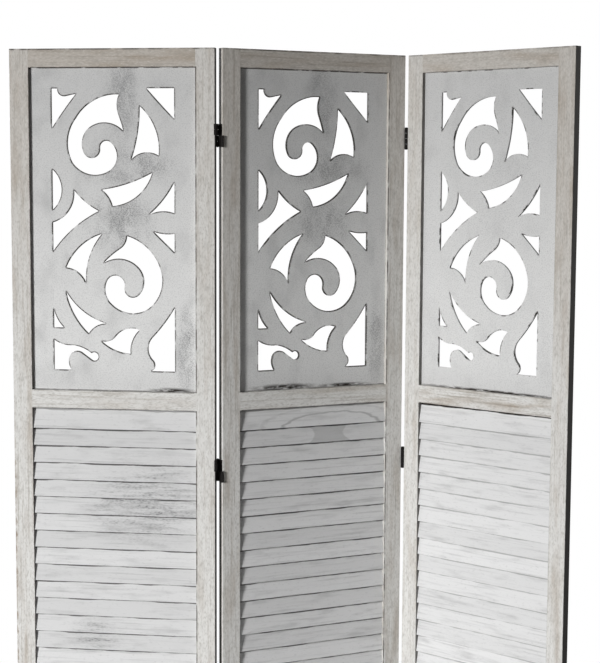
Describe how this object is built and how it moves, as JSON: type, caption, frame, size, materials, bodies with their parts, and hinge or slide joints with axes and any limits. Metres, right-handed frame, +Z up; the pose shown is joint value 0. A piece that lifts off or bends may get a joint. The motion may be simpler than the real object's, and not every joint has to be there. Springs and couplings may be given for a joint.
{
  "type": "folding room screen",
  "caption": "Free-standing folding room divider of hinged panels, each a frame with a pierced scroll board above fixed louvre slats.",
  "frame": {"origin": "on the floor, at the middle of the screen's footprint box as it stands half folded", "axes": "+Z up, +X along the left panel from its free edge, +Y from the viewed side to the back"},
  "size_m": [1.0792, 0.2624, 1.7],
  "materials": {
    "frame_wood": "whitewashed, scuffed",
    "scroll_board": "whitewashed, scuffed at the cut edges",
    "slat_wood": "whitewashed",
    "hinge_metal": "black, satin"
  },
  "bodies": {
    "left_panel": {"left_panel_left_stile": "frame_wood", "left_panel_right_stile": "frame_wood", "left_panel_top_rail": "frame_wood", "left_panel_middle_rail": "frame_wood", "left_panel_bottom_rail": "frame_wood", "left_panel_scroll_board": "scroll_board", "left_panel_louvre_slats": "slat_wood", "left_fold_left_leaves": "hinge_metal", "left_fold_upper_links": "hinge_metal"},
    "centre_panel": {"centre_panel_left_stile": "frame_wood", "centre_panel_right_stile": "frame_wood", "centre_panel_top_rail": "frame_wood", "centre_panel_middle_rail": "frame_wood", "centre_panel_bottom_rail": "frame_wood", "centre_panel_scroll_board": "scroll_board", "centre_panel_louvre_slats": "slat_wood", "left_fold_right_leaves": "hinge_metal", "left_fold_lower_links": "hinge_metal", "right_fold_left_leaves": "hinge_metal", "right_fold_lower_links": "hinge_metal"},
    "right_panel": {"right_panel_left_stile": "frame_wood", "right_panel_right_stile": "frame_wood", "right_panel_top_rail": "frame_wood", "right_panel_middle_rail": "frame_wood", "right_panel_bottom_rail": "frame_wood", "right_panel_scroll_board": "scroll_board", "right_panel_louvre_slats": "slat_wood", "right_fold_right_leaves": "hinge_metal", "right_fold_upper_links": "hinge_metal"}
  },
  "joints": [
    {"name": "left_fold", "type": "hinge", "parent": "centre_panel", "child": "left_panel", "pos_m": [-0.13808, -0.10671, 0], "axis": [0, 0, 1], "range_deg": [-144.3, 35.7]},
    {"name": "right_fold", "type": "hinge", "parent": "centre_panel", "child": "right_panel", "pos_m": [0.20192, 0.11075, 0], "axis": [0, 0, 1], "range_deg": [-108.8, 71.2]}
  ]
}
